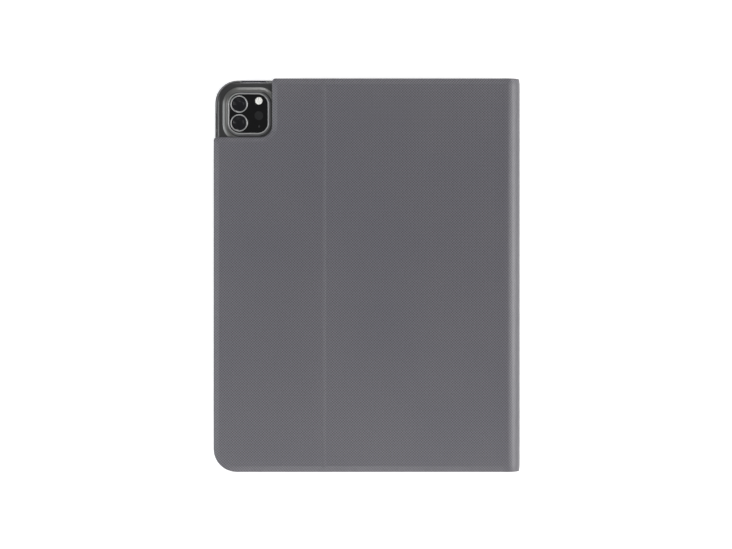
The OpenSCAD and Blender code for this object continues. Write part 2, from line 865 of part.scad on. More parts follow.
module power_switch() {
    color("#2b2c30")
    translate([-deck_l / 2 - switch_rise, switch_y - switch_l / 2, switch_z - switch_h / 2])
        cube([switch_rise + case_wall + switch_grip, switch_l, switch_h]);
}

module indicator_lights() {
    color("#e8f4e8")
    for (x = light_xs)
        translate([x, light_y, deck_bottom])
            cylinder(r = light_r - 0.05, h = deck_t + 0.02);
}

module screen_bumpers() {
    bumper = [9, 3];
    color("#1d1d1f")
    for (x = [-deck_l / 2 + 7, deck_l / 2 - 7])
        for (y = [deck_y0 + 2.6, deck_y1 - 2.6])
            block([x, y], bumper, 1.4, deck_top, lip_z - 0.2);
}

// The strip that the tablet's lower edge stands in: a base with a low ridge on each side
module tablet_rest() {
    base_t = 0.8;
    ridge = 2.5;
    ridge_h = 2.2;
    length = deck_l - 12;
    color("#2a2a2c")
    union() {
        block([0, rest_y0 + rest_w / 2], [length, rest_w], 1.2, cover_t, cover_t + base_t);
        for (y = [rest_y0 + ridge / 2, rest_y0 + rest_w - ridge / 2])
            block([0, y], [length, ridge], 1.2, cover_t, cover_t + ridge_h);
    }
}

front_cover_skin();
front_board();
front_lining();
front_magnets();
tablet_rest();
keyboard_lower_case();
keyboard_deck();
key_backplate();
membrane_circuit();
dome_sheet();
main_board();
batteries();
charge_port();
trackpad_board();
indicator_lights();
screen_bumpers();
case_screws();
keys_function_row();
keys_number_row();
keys_top_letter_row();
keys_home_row();
keys_bottom_letter_row();
keys_modifier_row();
space_bar();
trackpad();
power_switch();
spine_skin_lower();
spine_sheet_lower();
spine_lining_lower();
spine_skin_upper();
spine_sheet_upper();
spine_lining_upper();
back_cover_skin();
back_board_free_side();
back_board_spine_side();
back_lining();
back_magnets();
tray();
camera_guard();
volume_up_pad();
volume_down_pad();
tablet_housing();
tablet_battery();
tablet_screen();
tablet_volume_up_key();
tablet_volume_down_key();
tablet_power_key();
camera_bezel();
camera_glass();
lens_rings();
lens_glasses();
flash_lens();
depth_sensor_window();
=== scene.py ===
# %% [markdown]
# # A folio case with a keyboard, closed round its tablet
# The real case is a book. Grey woven fabric is glued over stiff boards, a keyboard is fixed inside the
# front board, and a moulded tray inside the back board holds the tablet. The engineering model already
# has every part at its true size, so this lesson keeps it as a fixed frame and only works on the looks:
# the cloth, the soft edges, the dished keys, the camera and the finishes.

import json
import math

import bmesh
import bpy
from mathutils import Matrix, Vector

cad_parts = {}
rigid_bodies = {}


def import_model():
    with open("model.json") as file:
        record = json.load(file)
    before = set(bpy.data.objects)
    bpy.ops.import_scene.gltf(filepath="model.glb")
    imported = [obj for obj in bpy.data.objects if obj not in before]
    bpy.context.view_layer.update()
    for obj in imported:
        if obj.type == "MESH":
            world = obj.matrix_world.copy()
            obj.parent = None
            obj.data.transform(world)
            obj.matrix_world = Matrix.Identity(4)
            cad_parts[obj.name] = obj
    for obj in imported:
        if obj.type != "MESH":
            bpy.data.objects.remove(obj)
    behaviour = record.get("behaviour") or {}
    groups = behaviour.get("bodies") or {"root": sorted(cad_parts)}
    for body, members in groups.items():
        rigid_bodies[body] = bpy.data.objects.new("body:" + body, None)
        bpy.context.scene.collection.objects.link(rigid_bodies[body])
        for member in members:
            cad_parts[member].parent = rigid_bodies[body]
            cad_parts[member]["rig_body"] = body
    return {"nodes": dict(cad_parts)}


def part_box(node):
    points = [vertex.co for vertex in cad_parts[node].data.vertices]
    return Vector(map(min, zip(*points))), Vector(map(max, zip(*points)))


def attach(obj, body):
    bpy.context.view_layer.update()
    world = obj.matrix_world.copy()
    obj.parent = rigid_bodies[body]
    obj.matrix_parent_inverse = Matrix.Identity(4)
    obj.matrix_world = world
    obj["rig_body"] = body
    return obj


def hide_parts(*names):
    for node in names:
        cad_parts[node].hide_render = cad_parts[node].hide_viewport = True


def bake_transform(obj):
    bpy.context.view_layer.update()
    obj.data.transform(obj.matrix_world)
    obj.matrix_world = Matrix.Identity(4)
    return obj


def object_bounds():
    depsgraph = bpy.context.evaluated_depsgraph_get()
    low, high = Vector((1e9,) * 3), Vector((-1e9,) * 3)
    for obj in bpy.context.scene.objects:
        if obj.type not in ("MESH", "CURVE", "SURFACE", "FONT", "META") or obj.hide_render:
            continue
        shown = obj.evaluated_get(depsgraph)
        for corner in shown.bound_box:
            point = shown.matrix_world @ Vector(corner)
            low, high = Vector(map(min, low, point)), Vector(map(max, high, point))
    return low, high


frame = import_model()
nodes = frame["nodes"]
cad_low, cad_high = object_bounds()
MM = 0.001
print("parts:", len(nodes), "size in mm:", [round(x / MM, 1) for x in cad_high - cad_low])

# %% [markdown]
# ## The camera
# The case lies on its keyboard side and the camera looks straight down at its back. A long lens keeps
# the sides from spreading. The camera is turned a quarter, so that the spine is on the right.

# %% Camera
FRAME_WIDTH = 0.5314        # how much of the scene the picture spans at the back of the case
LENS, SENSOR = 100.0, 36.0
back_face = cad_high.z
camera_data = bpy.data.cameras.new("camera")
camera_data.lens, camera_data.sensor_width = LENS, SENSOR
camera_data.clip_start, camera_data.clip_end = 0.05, 20
camera = bpy.data.objects.new("camera", camera_data)
bpy.context.scene.collection.objects.link(camera)
camera.location = (-0.0005, -0.0008, back_face + FRAME_WIDTH * LENS / SENSOR)
camera.rotation_euler = (0, 0, math.radians(90))
bpy.context.scene.camera = camera
print("camera height:", round(camera.location.z, 3), "m")

# %% [markdown]
# ## The room
# A white table that glows a little, as a light table does, so that shadows on it stay faint. Four soft
# lamps stand well to the side, so that no flat shiny face mirrors one into the camera. The spine's side is
# lit the most, which draws the bright stripe down the spine, and the others lift the slopes of the cloth.

# %% Floor and lamps
def deselect():
    bpy.ops.object.select_all(action="DESELECT")
    bpy.context.view_layer.objects.active = None


def work_on(piece):
    """Selects just this piece and makes it active, because that is what Blender's operators act on."""
    deselect()
    piece.select_set(True)
    bpy.context.view_layer.objects.active = piece


def lamp(name, azimuth, from_vertical, brightness, size, colour=(1, 1, 1), distance=1.6):
    """A square lamp that faces the case. Brightness is what it would give a sheet of paper that faces it."""
    data = bpy.data.lights.new(name, "AREA")
    data.shape, data.size, data.color = "SQUARE", size, colour
    data.energy = brightness * (math.pi * distance) ** 2
    thing = bpy.data.objects.new(name, data)
    bpy.context.scene.collection.objects.link(thing)
    a, e = math.radians(azimuth), math.radians(from_vertical)
    away = Vector((math.cos(a) * math.sin(e), math.sin(a) * math.sin(e), math.cos(e)))
    thing.location = away * distance
    thing.rotation_euler = away.to_track_quat("Z", "Y").to_euler()
    thing.visible_camera = False


deselect()
bpy.ops.mesh.primitive_plane_add(size=12, location=(0, 0, -0.0004))
table = bpy.context.active_object
table.name = "table"
table_paint = bpy.data.materials.new("table_paint")
table_paint.use_nodes = True
paint = table_paint.node_tree.nodes["Principled BSDF"].inputs
paint["Base Color"].default_value = (0.82, 0.82, 0.82, 1)
paint["Roughness"].default_value = 0.9
paint["Emission Color"].default_value = (1, 1, 1, 1)
paint["Emission Strength"].default_value = 0.45
table.data.materials.append(table_paint)
# name, degrees round the case, degrees from straight up, brightness, side of the lamp in metres, tint
lamp("spine_lamp", 90, 60, 0.8, 0.8)
lamp("free_side_lamp", -90, 46, 0.45, 0.8, (0.95, 0.98, 1.0))
lamp("camera_end_lamp", 180, 38, 0.18, 0.36)
lamp("far_end_lamp", 0, 50, 0.44, 0.42, distance=0.57)
world = bpy.data.worlds.new("room")
world.use_nodes = True
sky = world.node_tree.nodes["Background"].inputs
sky["Color"].default_value = (1, 1, 1, 1)
sky["Strength"].default_value = 0.22
bpy.context.scene.world = world
bpy.context.scene.view_settings.view_transform = "Standard"

# %% [markdown]
# ## Finishes
# A finish is a small node graph. Each one starts from the same few nodes: a noise that varies the colour a
# little, and a finer one that becomes a bump. A helper makes those, and each finish then gives its colours
# and its own numbers. What is the same all over, such as roughness, is set on the shader itself.

# %% Helpers for finishes
def new_finish(name, roughness, metallic=0.0, specular=0.5):
    finish = bpy.data.materials.new(name)
    finish.use_nodes = True
    tree = finish.node_tree
    shader = tree.nodes["Principled BSDF"]
    shader.inputs["Roughness"].default_value = roughness
    shader.inputs["Metallic"].default_value = metallic
    shader.inputs["Specular IOR Level"].default_value = specular
    return finish, tree, shader


def node(tree, kind, **settings):
    made = tree.nodes.new(kind)
    for key, value in settings.items():
        setattr(made, key, value)
    return made


def sums(tree, operation, a, b=None):
    """A Math node; each input is a number or another node's output."""
    made = node(tree, "ShaderNodeMath", operation=operation)
    for socket, value in zip(made.inputs, (a, b)):
        if value is None:
            continue
        if isinstance(value, (int, float)):
            socket.default_value = value
        else:
            tree.links.new(value, socket)
    return made.outputs[0]


def grain(tree, scale, detail=2.0, stretch=(1, 1, 1)):
    """Noise in the object's own coordinates; scale is in cycles per metre."""
    where = node(tree, "ShaderNodeTexCoord")
    mapping = node(tree, "ShaderNodeMapping")
    mapping.inputs["Scale"].default_value = stretch
    noise = node(tree, "ShaderNodeTexNoise")
    noise.inputs["Scale"].default_value = scale
    noise.inputs["Detail"].default_value = detail
    tree.links.new(where.outputs["Object"], mapping.inputs["Vector"])
    tree.links.new(mapping.outputs["Vector"], noise.inputs["Vector"])
    return noise.outputs["Fac"]


def two_tone(tree, factor, dark, light, low=0.35, high=0.65):
    ramp = node(tree, "ShaderNodeValToRGB")
    ramp.color_ramp.elements[0].position, ramp.color_ramp.elements[1].position = low, high
    ramp.color_ramp.elements[0].color = (*dark, 1)
    ramp.color_ramp.elements[1].color = (*light, 1)
    tree.links.new(factor, ramp.inputs["Fac"])
    return ramp.outputs["Color"]


def raise_bump(tree, shader, height, distance, strength=1.0):
    bump = node(tree, "ShaderNodeBump")
    bump.inputs["Distance"].default_value = distance
    bump.inputs["Strength"].default_value = strength
    tree.links.new(height, bump.inputs["Height"])
    tree.links.new(bump.outputs["Normal"], shader.inputs["Normal"])


def grained(name, dark, light, roughness, blotch=60, fine=2500, bump=0.00004, metallic=0.0, specular=0.5,
            stretch=(1, 1, 1), coat=0.0):
    """A moulded, painted or metal surface: blotches of two tones and a fine grain."""
    finish, tree, shader = new_finish(name, roughness, metallic, specular)
    shader.inputs["Coat Weight"].default_value = coat
    colour = two_tone(tree, grain(tree, blotch, 3, stretch), dark, light)
    tree.links.new(colour, shader.inputs["Base Color"])
    raise_bump(tree, shader, grain(tree, fine, 1, stretch), bump)
    return finish


def dress(piece, finish):
    piece.data.materials.clear()
    piece.data.materials.append(finish)
    return piece


# %% [markdown]
# ## The weave
# The outside is a plain weave of a light and a dark thread, each about one millimetre wide.
# Drawing it on flat coordinates would smear it round the spine, so the cloth pieces carry a UV map in
# metres, measured along the cloth, and the pattern follows the cloth as the case opens. The product of two
# sines changes sign from one crossing to the next, which says which thread lies on top.

# %% Woven finish
def woven(name, warp, weft, thread, roughness, depth, fuzz, gloss=0.35):
    finish, tree, shader = new_finish(name, roughness, specular=gloss)
    shader.inputs["Sheen Weight"].default_value = fuzz
    shader.inputs["Sheen Roughness"].default_value = 0.6
    cloth_map = node(tree, "ShaderNodeUVMap", uv_map="cloth")
    apart = node(tree, "ShaderNodeSeparateXYZ")
    tree.links.new(cloth_map.outputs["UV"], apart.inputs[0])
    across = sums(tree, "SINE", sums(tree, "MULTIPLY", apart.outputs["X"], math.pi / thread))
    along = sums(tree, "SINE", sums(tree, "MULTIPLY", apart.outputs["Y"], math.pi / thread))
    crossing = sums(tree, "MULTIPLY", across, along)
    warp_top = sums(tree, "ADD", sums(tree, "MULTIPLY", crossing, 0.5), 0.5)
    warp_height = sums(tree, "MULTIPLY", sums(tree, "ABSOLUTE", across), warp_top)
    weft_height = sums(tree, "MULTIPLY", sums(tree, "ABSOLUTE", along), sums(tree, "SUBTRACT", 1.0, warp_top))
    height = sums(tree, "MAXIMUM", warp_height, weft_height)
    slub = grain(tree, 900, 2)
    tone = sums(tree, "ADD", warp_top, sums(tree, "MULTIPLY", sums(tree, "SUBTRACT", slub, 0.5), 0.5))
    threads = two_tone(tree, tone, weft, warp, 0.2, 0.8)
    shade = node(tree, "ShaderNodeMix", data_type="RGBA", blend_type="MULTIPLY")
    shade.inputs["Factor"].default_value = 1.0
    tree.links.new(threads, shade.inputs["A"])
    tree.links.new(two_tone(tree, grain(tree, 14, 3), (0.9, 0.91, 0.95), (1, 1, 1)), shade.inputs["B"])
    tree.links.new(shade.outputs["Result"], shader.inputs["Base Color"])
    raise_bump(tree, shader, height, depth)
    return finish


cover_cloth = woven("woven_cover_cloth", (0.1015, 0.0955, 0.1175), (0.0115, 0.0108, 0.0135),
                    thread=0.00098, roughness=0.45, depth=0.00008, fuzz=0.1, gloss=1.0)
lining_cloth = woven("brushed_lining_cloth", (0.052, 0.053, 0.058), (0.030, 0.031, 0.034),
                     thread=0.0003, roughness=0.92, depth=0.00003, fuzz=0.35)
print("cloth finishes:", cover_cloth.name, lining_cloth.name)

# %% [markdown]
# ## One cloth, unrolled
# The outer cloth runs from the free edge of the front cover, round the spine, to the free edge of the back
# cover. It is easiest to cut it flat: u along the case, v across it, and h for how far a point stands above
# the cloth's flat level. When the cut is finished, every point is rolled into place: straight on, then
# round the spine's curve, then back. The flat u and v become the UV map.

# %% The spine's curve
SPINE_BULGE = 0.0112                        # how far the spine stands out past the covers
HINGE = cad_high.y - SPINE_BULGE            # where the covers end and the spine's curve begins
HALF_LENGTH = cad_high.x
THICK = cad_high.z
FREE = -cad_low.y
SQUARENESS = 2.15                           # 2 would be an ellipse, and more is squarer
CURVE_STEPS = 360


def spine_curve():
    """Points of the curve with the distance along it and the outward normal at each."""
    points = []
    for k in range(CURVE_STEPS + 1):
        a = math.radians(-90 + 180 * k / CURVE_STEPS)
        y = HINGE + (cad_high.y - HINGE) * max(0.0, math.cos(a)) ** (2 / SQUARENESS)
        z = THICK / 2 + math.copysign(THICK / 2 * abs(math.sin(a)) ** (2 / SQUARENESS), a)
        points.append(Vector((0, y, z)))
    run, rows = 0.0, []
    for k, p in enumerate(points):
        ahead, behind = points[min(k + 1, CURVE_STEPS)], points[max(k - 1, 0)]
        if k:
            run += (p - points[k - 1]).length
        tangent = (ahead - behind).normalized()
        rows.append((run, p, Vector((0, tangent.z, -tangent.y))))
    rows[0] = (rows[0][0], rows[0][1], Vector((0, 0, -1)))
    rows[-1] = (rows[-1][0], rows[-1][1], Vector((0, 0, 1)))
    return rows


CURVE = spine_curve()
ROUND = CURVE[-1][0]                        # length of cloth round the spine
print("cloth round the spine:", round(ROUND / MM, 2), "mm")


def rolled(u, v, h):
    """The place in the case of a point of the flat cloth."""
    if v <= 0:
        return Vector((u, HINGE + v, -h))
    if v >= ROUND:
        return Vector((u, HINGE - (v - ROUND), THICK + h))
    low, high = 0, len(CURVE) - 1
    while high - low > 1:
        middle = (low + high) // 2
        low, high = (middle, high) if CURVE[middle][0] <= v else (low, middle)
    share = (v - CURVE[low][0]) / (CURVE[high][0] - CURVE[low][0])
    place = CURVE[low][1].lerp(CURVE[high][1], share)
    normal = CURVE[low][2].lerp(CURVE[high][2], share).normalized()
    return Vector((u, 0, 0)) + place + normal * h


def smooth_step(x, start, end):
    t = min(1.0, max(0.0, (x - start) / (end - start)))
    return t * t * (3 - 2 * t)


def on_spine(v, reach=0.004):
    """0 on the covers and 1 on the spine, with a soft change just before each hinge line."""
    return smooth_step(v, -reach, 0) * (1 - smooth_step(v, ROUND, ROUND + reach))


# %% [markdown]
# ## Outlines with rounded corners
# Each outline is a list of corners with a radius. Drawn again a little smaller, it has the same number of
# points, so two of them can be joined by a neat ring of faces. That is how the soft step beside a board,
# the pressed fold and the turned edge are made.

# %% Outlines
def outline(corners, steps=8):
    """Points round a shape; each corner is (x, y, radius), and a radius of 0 keeps it sharp."""
    points = []
    for i, (x, y, r) in enumerate(corners):
        p = Vector((x, y))
        u = (Vector(corners[i - 1][:2]) - p).normalized()
        v = (Vector(corners[(i + 1) % len(corners)][:2]) - p).normalized()
        if r == 0:
            points.append(p)
            continue
        half = math.acos(max(-1, min(1, u.dot(v)))) / 2
        centre = p + (u + v).normalized() * (r / math.sin(half))
        start, end = p + u * (r / math.tan(half)) - centre, p + v * (r / math.tan(half)) - centre
        sweep = math.atan2(start.x * end.y - start.y * end.x, start.dot(end))
        for k in range(steps + 1):
            a = sweep * k / steps
            points.append(centre + Vector((start.x * math.cos(a) - start.y * math.sin(a),
                                           start.x * math.sin(a) + start.y * math.cos(a))))
    return points


def ring(mesh, points, h):
    """h is one height for the ring, or a function of the point."""
    return [mesh.verts.new((p.x, p.y, h(p) if callable(h) else h)) for p in points]


TINY = 1e-7                                 # points nearer than this are one point


def join_rings(mesh, a, b):
    for i in range(len(a)):
        j = (i + 1) % len(a)
        if (a[i].co - a[j].co).length > TINY or (b[i].co - b[j].co).length > TINY:
            mesh.faces.new((a[i], a[j], b[j], b[i]))


def loop_edges(mesh, loop):
    return [mesh.edges.get((loop[i], loop[(i + 1) % len(loop)]))
            or mesh.edges.new((loop[i], loop[(i + 1) % len(loop)])) for i in range(len(loop))]


CORNER = 0.0166
NOTCH_X = -0.10035                          # inner edges of the corner cut-out
NOTCH_Y = -0.06905
NOTCH_FILLET = 0.0084                       # radius of the cut-out's inner corner
NOTCH_V = ROUND + HINGE - NOTCH_Y
FRONT_V = -(HINGE + FREE)
BACK_V = ROUND + HINGE + FREE
SPARE = 0.006                               # cloth past the end of a piece, trimmed later
WELL_PAST = 0.01                            # how far outside the case a trim or a cutter starts


def front_outline(inset, end):
    x = HALF_LENGTH - inset
    near = FRONT_V + inset
    return [(-x, end, 0), (-x, near, CORNER - inset), (x, near, CORNER - inset), (x, end, 0)]


def back_outline(inset, start, tip=0.0025):
    x, far = HALF_LENGTH - inset, BACK_V - inset
    return [(-x, start, 0), (x, start, 0), (x, far, CORNER - inset), (NOTCH_X + inset, far, tip),
            (NOTCH_X + inset, NOTCH_V - inset, NOTCH_FILLET + inset), (-x, NOTCH_V - inset, tip)]


# %% [markdown]
# ## Cutting a cloth piece
# The ground of a piece is the strip of cloth that no board lifts. The raised fields are where a board
# lies underneath. The ground is filled between the outer ring and the fields, and then cut across in
# narrow rows where it has to bend.

# %% Cut, trim, roll and thicken
STEP = [(0.0, 0.0, 0.0), (0.0004, -0.00003, -0.00004), (0.0008, -0.0001, -0.00016),
        (0.0012, -0.0002, -0.00025)]        # outwards from a board: height at the border, height at the fold
GROUND = -0.00066                           # height of the cloth that no board lifts
EDGE_SHARE = 0.7                            # how much of its height moves the weave on at a turned edge


def cut_cloth(name, outer, fields, keep, rows, depth, thickness):
    """outer is a list of (points, h) rings from the ground outwards; each field is a list of (points, h)
    rings from the ground inwards. keep is the range of v that stays, and rows the values of v to cut at."""
    mesh = bmesh.new()
    ground_edges = []
    for rings in [outer] + fields:
        made = [ring(mesh, points, h) for points, h in rings]
        for a, b in zip(made, made[1:]):
            join_rings(mesh, a, b)
        ground_edges += loop_edges(mesh, made[0])
        if rings is not outer:
            mesh.faces.new(made[-1])
    bmesh.ops.triangle_fill(mesh, edges=ground_edges, use_beauty=True, use_dissolve=False)
    bmesh.ops.remove_doubles(mesh, verts=mesh.verts, dist=TINY)
    bmesh.ops.dissolve_limit(mesh, angle_limit=0.002, verts=mesh.verts, edges=mesh.edges)
    trims = [(keep[0], True, False), (keep[1], False, True)]
    for v, clear_low, clear_high in trims + [(v, False, False) for v in rows]:
        everything = list(mesh.verts) + list(mesh.edges) + list(mesh.faces)
        bmesh.ops.bisect_plane(mesh, geom=everything, plane_co=(0, v, 0), plane_no=(0, 1, 0),
                               clear_inner=clear_low, clear_outer=clear_high)
    bmesh.ops.triangulate(mesh, faces=[f for f in mesh.faces if len(f.verts) > 4])
    for face in mesh.faces:
        if face.normal.z < -0.2:
            face.normal_flip()
    bmesh.ops.recalc_face_normals(mesh, faces=mesh.faces)
    if sum(f.normal.z * f.calc_area() for f in mesh.faces) < 0:
        bmesh.ops.reverse_faces(mesh, faces=mesh.faces)
    layer = mesh.loops.layers.uv.new("cloth")
    for face in mesh.faces:
        for corner in face.loops:
            co = corner.vert.co
            corner[layer].uv = (co.x, co.y + co.z * EDGE_SHARE)
    for vertex in mesh.verts:
        u, v, h = vertex.co
        vertex.co = rolled(u, v, depth(v, h))
    bmesh.ops.reverse_faces(mesh, faces=mesh.faces)
    data = bpy.data.meshes.new(name)
    mesh.to_mesh(data)
    mesh.free()
    piece = bpy.data.objects.new(name, data)
    bpy.context.scene.collection.objects.link(piece)
    work_on(piece)
    wall = piece.modifiers.new("wall", "SOLIDIFY")
    wall.thickness, wall.offset, wall.use_even_offset = thickness, -1, False
    bpy.ops.object.modifier_apply(modifier="wall")
    bpy.ops.object.shade_smooth_by_angle(angle=math.radians(50))
    print(name, "faces:", len(piece.data.polygons))
    return piece


SHALLOWER, SHORTER = 0.6, 0.5               # on the spine: share taken off the ground and off the turned edge


def skin_depth(v, h):
    """The outer cloth: on the spine the ground is shallower and the turned edge shorter."""
    spine = on_spine(v)
    if h >= GROUND:
        return h * (1 - SHALLOWER * spine)
    edge = GROUND + (h - GROUND) * (1 - SHORTER * spine)
    return edge + spine * SHALLOWER * -GROUND


# %% [markdown]
# ## The outer cloth
# Two pieces meet along the middle of the spine: the front one bends with the lower half of the spine and
# the back one with the upper half. The back piece has two raised fields, one for each board, and the
# pressed fold is simply the ground that shows between them. At the edge the cloth turns down and in.

# %% Outer cloth
SKIN_T = 0.0006
BORDER = 0.0044                             # from the edge of the cover to the flat top of a board
TURNED = [(0.0009, GROUND), (0.00035, GROUND - 0.00015), (0.0001, GROUND - 0.0004), (0.0, GROUND - 0.0007),
          (0.0, -0.00235)]
FOLD_TO_FREE = 0.0801                       # from the pressed fold to the free edge
FOLD_V = BACK_V - FOLD_TO_FREE
FOLD_HALF = 0.00155                         # from the middle of the fold to the flat top of a board
FOLD_ROUND, FIELD_TIP = 0.0006, 0.003       # corners of the raised fields: at the fold and at the cut-out
MIDDLE = ROUND / 2
bend_rows = [k * 0.001 for k in range(-8, 0)] + [ROUND * k / 40 for k in range(41)]
front_rows = [v for v in bend_rows if v < MIDDLE - 1e-5]
back_rows = [ROUND - v for v in front_rows]


def front_field():
    return [(outline(front_outline(BORDER - d, MIDDLE + SPARE)), h) for d, h, _ in reversed(STEP)]


def near_fold(at_border, at_fold):
    return lambda p: at_fold if abs(p.y - FOLD_V) < FOLD_HALF + 0.0002 else at_border


def back_fields():
    spine_side, free_side = [], []
    for d, at_border, at_fold in reversed(STEP):
        inset, fold, h = BORDER - d, FOLD_HALF - d, near_fold(at_border, at_fold)
        x, far = HALF_LENGTH - inset, BACK_V - inset
        spine_side.append((outline([(-x, MIDDLE - SPARE, 0), (x, MIDDLE - SPARE, 0),
                                    (x, FOLD_V - fold, FOLD_ROUND), (-x, FOLD_V - fold, FOLD_ROUND)]), h))
        free_side.append((outline([(-x, FOLD_V + fold, FOLD_ROUND), (x, FOLD_V + fold, FOLD_ROUND),
                                   (x, far, CORNER - inset), (NOTCH_X + inset, far, FIELD_TIP),
                                   (NOTCH_X + inset, NOTCH_V - inset, NOTCH_FILLET + inset),
                                   (-x, NOTCH_V - inset, FIELD_TIP)]), h))
    return [spine_side, free_side]


front_edge = [(outline(front_outline(d, MIDDLE + SPARE)), h) for d, h in TURNED]
front_keep, back_keep = (FRONT_V - WELL_PAST, MIDDLE), (MIDDLE, BACK_V + WELL_PAST)
front_cloth = cut_cloth("front_cover_cloth", front_edge, [front_field()], front_keep, front_rows,
                        skin_depth, SKIN_T)
back_edge = [(outline(back_outline(d, MIDDLE - SPARE)), h) for d, h in TURNED]
back_cloth = cut_cloth("back_cover_cloth", back_edge, back_fields(), back_keep, back_rows,
                       skin_depth, SKIN_T)
for cloth in (front_cloth, back_cloth):
    dress(cloth, cover_cloth)

# %% [markdown]
# ## Lining and the spring sheet
# The inside of the covers is lined with a thin brushed cloth. It lies on the boards, dips to the spine just
# past each hinge line, and is closed over the middle of the spine by a narrow third piece. A springy film
# between cloth and lining keeps the spine round. All are cut flat and rolled like the outer cloth.

# %% Lining and film
LINING_T, FILM_T = 0.0004, 0.0003
COVER_T = 0.0024


def lining_depth(v, h):
    dip = smooth_step(v, -0.0012, 0.0016) * (1 - smooth_step(v, ROUND - 0.0016, ROUND + 0.0012))
    return -(COVER_T - LINING_T) * (1 - dip) - (SKIN_T + FILM_T) * dip + h


def film_depth(v, h):
    return -SKIN_T + h


LINING_INSET = 0.0007
front_flat = [(outline(front_outline(LINING_INSET, MIDDLE + SPARE)), 0)]
front_lining = cut_cloth("front_lining_cloth", front_flat, [], front_keep, front_rows, lining_depth, LINING_T)
back_flat = [(outline(back_outline(LINING_INSET, MIDDLE - SPARE)), 0)]
back_lining = cut_cloth("back_lining_cloth", back_flat, [], back_keep, back_rows, lining_depth, LINING_T)
SEAM = 0.0016                               # half the width of the middle piece that shows
FILM_GAP = 0.0004                           # from each end of a film to the fold line beside it


def plain_strip(name, x, start, end, rows, depth, thickness):
    corners = [(-x, start, 0), (x, start, 0), (x, end, 0), (-x, end, 0)]
    return cut_cloth(name, [(outline(corners), 0)], [], (start - 0.001, end + 0.001), rows, depth, thickness)


middle_lining = plain_strip("spine_lining_middle", HALF_LENGTH - LINING_INSET, MIDDLE - SEAM, MIDDLE + SEAM,
                            [MIDDLE + SEAM * k / 6 for k in range(-5, 6)],
                            lambda v, h: -(SKIN_T + FILM_T + LINING_T) + h, 0.0002)
lower_film = plain_strip("spine_film_lower", HALF_LENGTH - BORDER, FILM_GAP, MIDDLE - FILM_GAP,
                         [v for v in front_rows if v > 0.0005], film_depth, FILM_T)
upper_film = plain_strip("spine_film_upper", HALF_LENGTH - BORDER, MIDDLE + FILM_GAP, ROUND - FILM_GAP,
                         [v for v in back_rows if v < ROUND - 0.0005], film_depth, FILM_T)
for cloth in (front_lining, back_lining, middle_lining):
    dress(cloth, lining_cloth)
film_finish = grained("spring_film", (0.50, 0.48, 0.42), (0.60, 0.58, 0.52), 0.3, fine=800, bump=0.00001)
for film in (lower_film, upper_film):
    dress(film, film_finish)

# %% [markdown]
# ## Putting the cloth in place
# As the case opens, the spine must unroll from a curve to nearly flat. Here the cloth pieces have their
# placement baked into their meshes, and the engineering skins, linings and spring sheets are hidden.

# %% Cloth baked in place
for piece in (front_cloth, front_lining, lower_film):
    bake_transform(piece)
for piece in (back_cloth, back_lining, upper_film):
    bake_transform(piece)
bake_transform(middle_lining)
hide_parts("front_cover_skin", "spine_skin_lower")
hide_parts("back_cover_skin", "spine_skin_upper")
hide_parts("front_lining", "spine_lining_lower")
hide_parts("back_lining", "spine_lining_upper")
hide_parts("spine_sheet_lower")
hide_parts("spine_sheet_upper")

# %% [markdown]
# ## Plastic, metal and glass finishes
# The tray is a dark, slightly shiny plastic. The metals are blasted, so they are rough and even. Glass is
# almost black and nearly smooth: what is seen in it is the room.

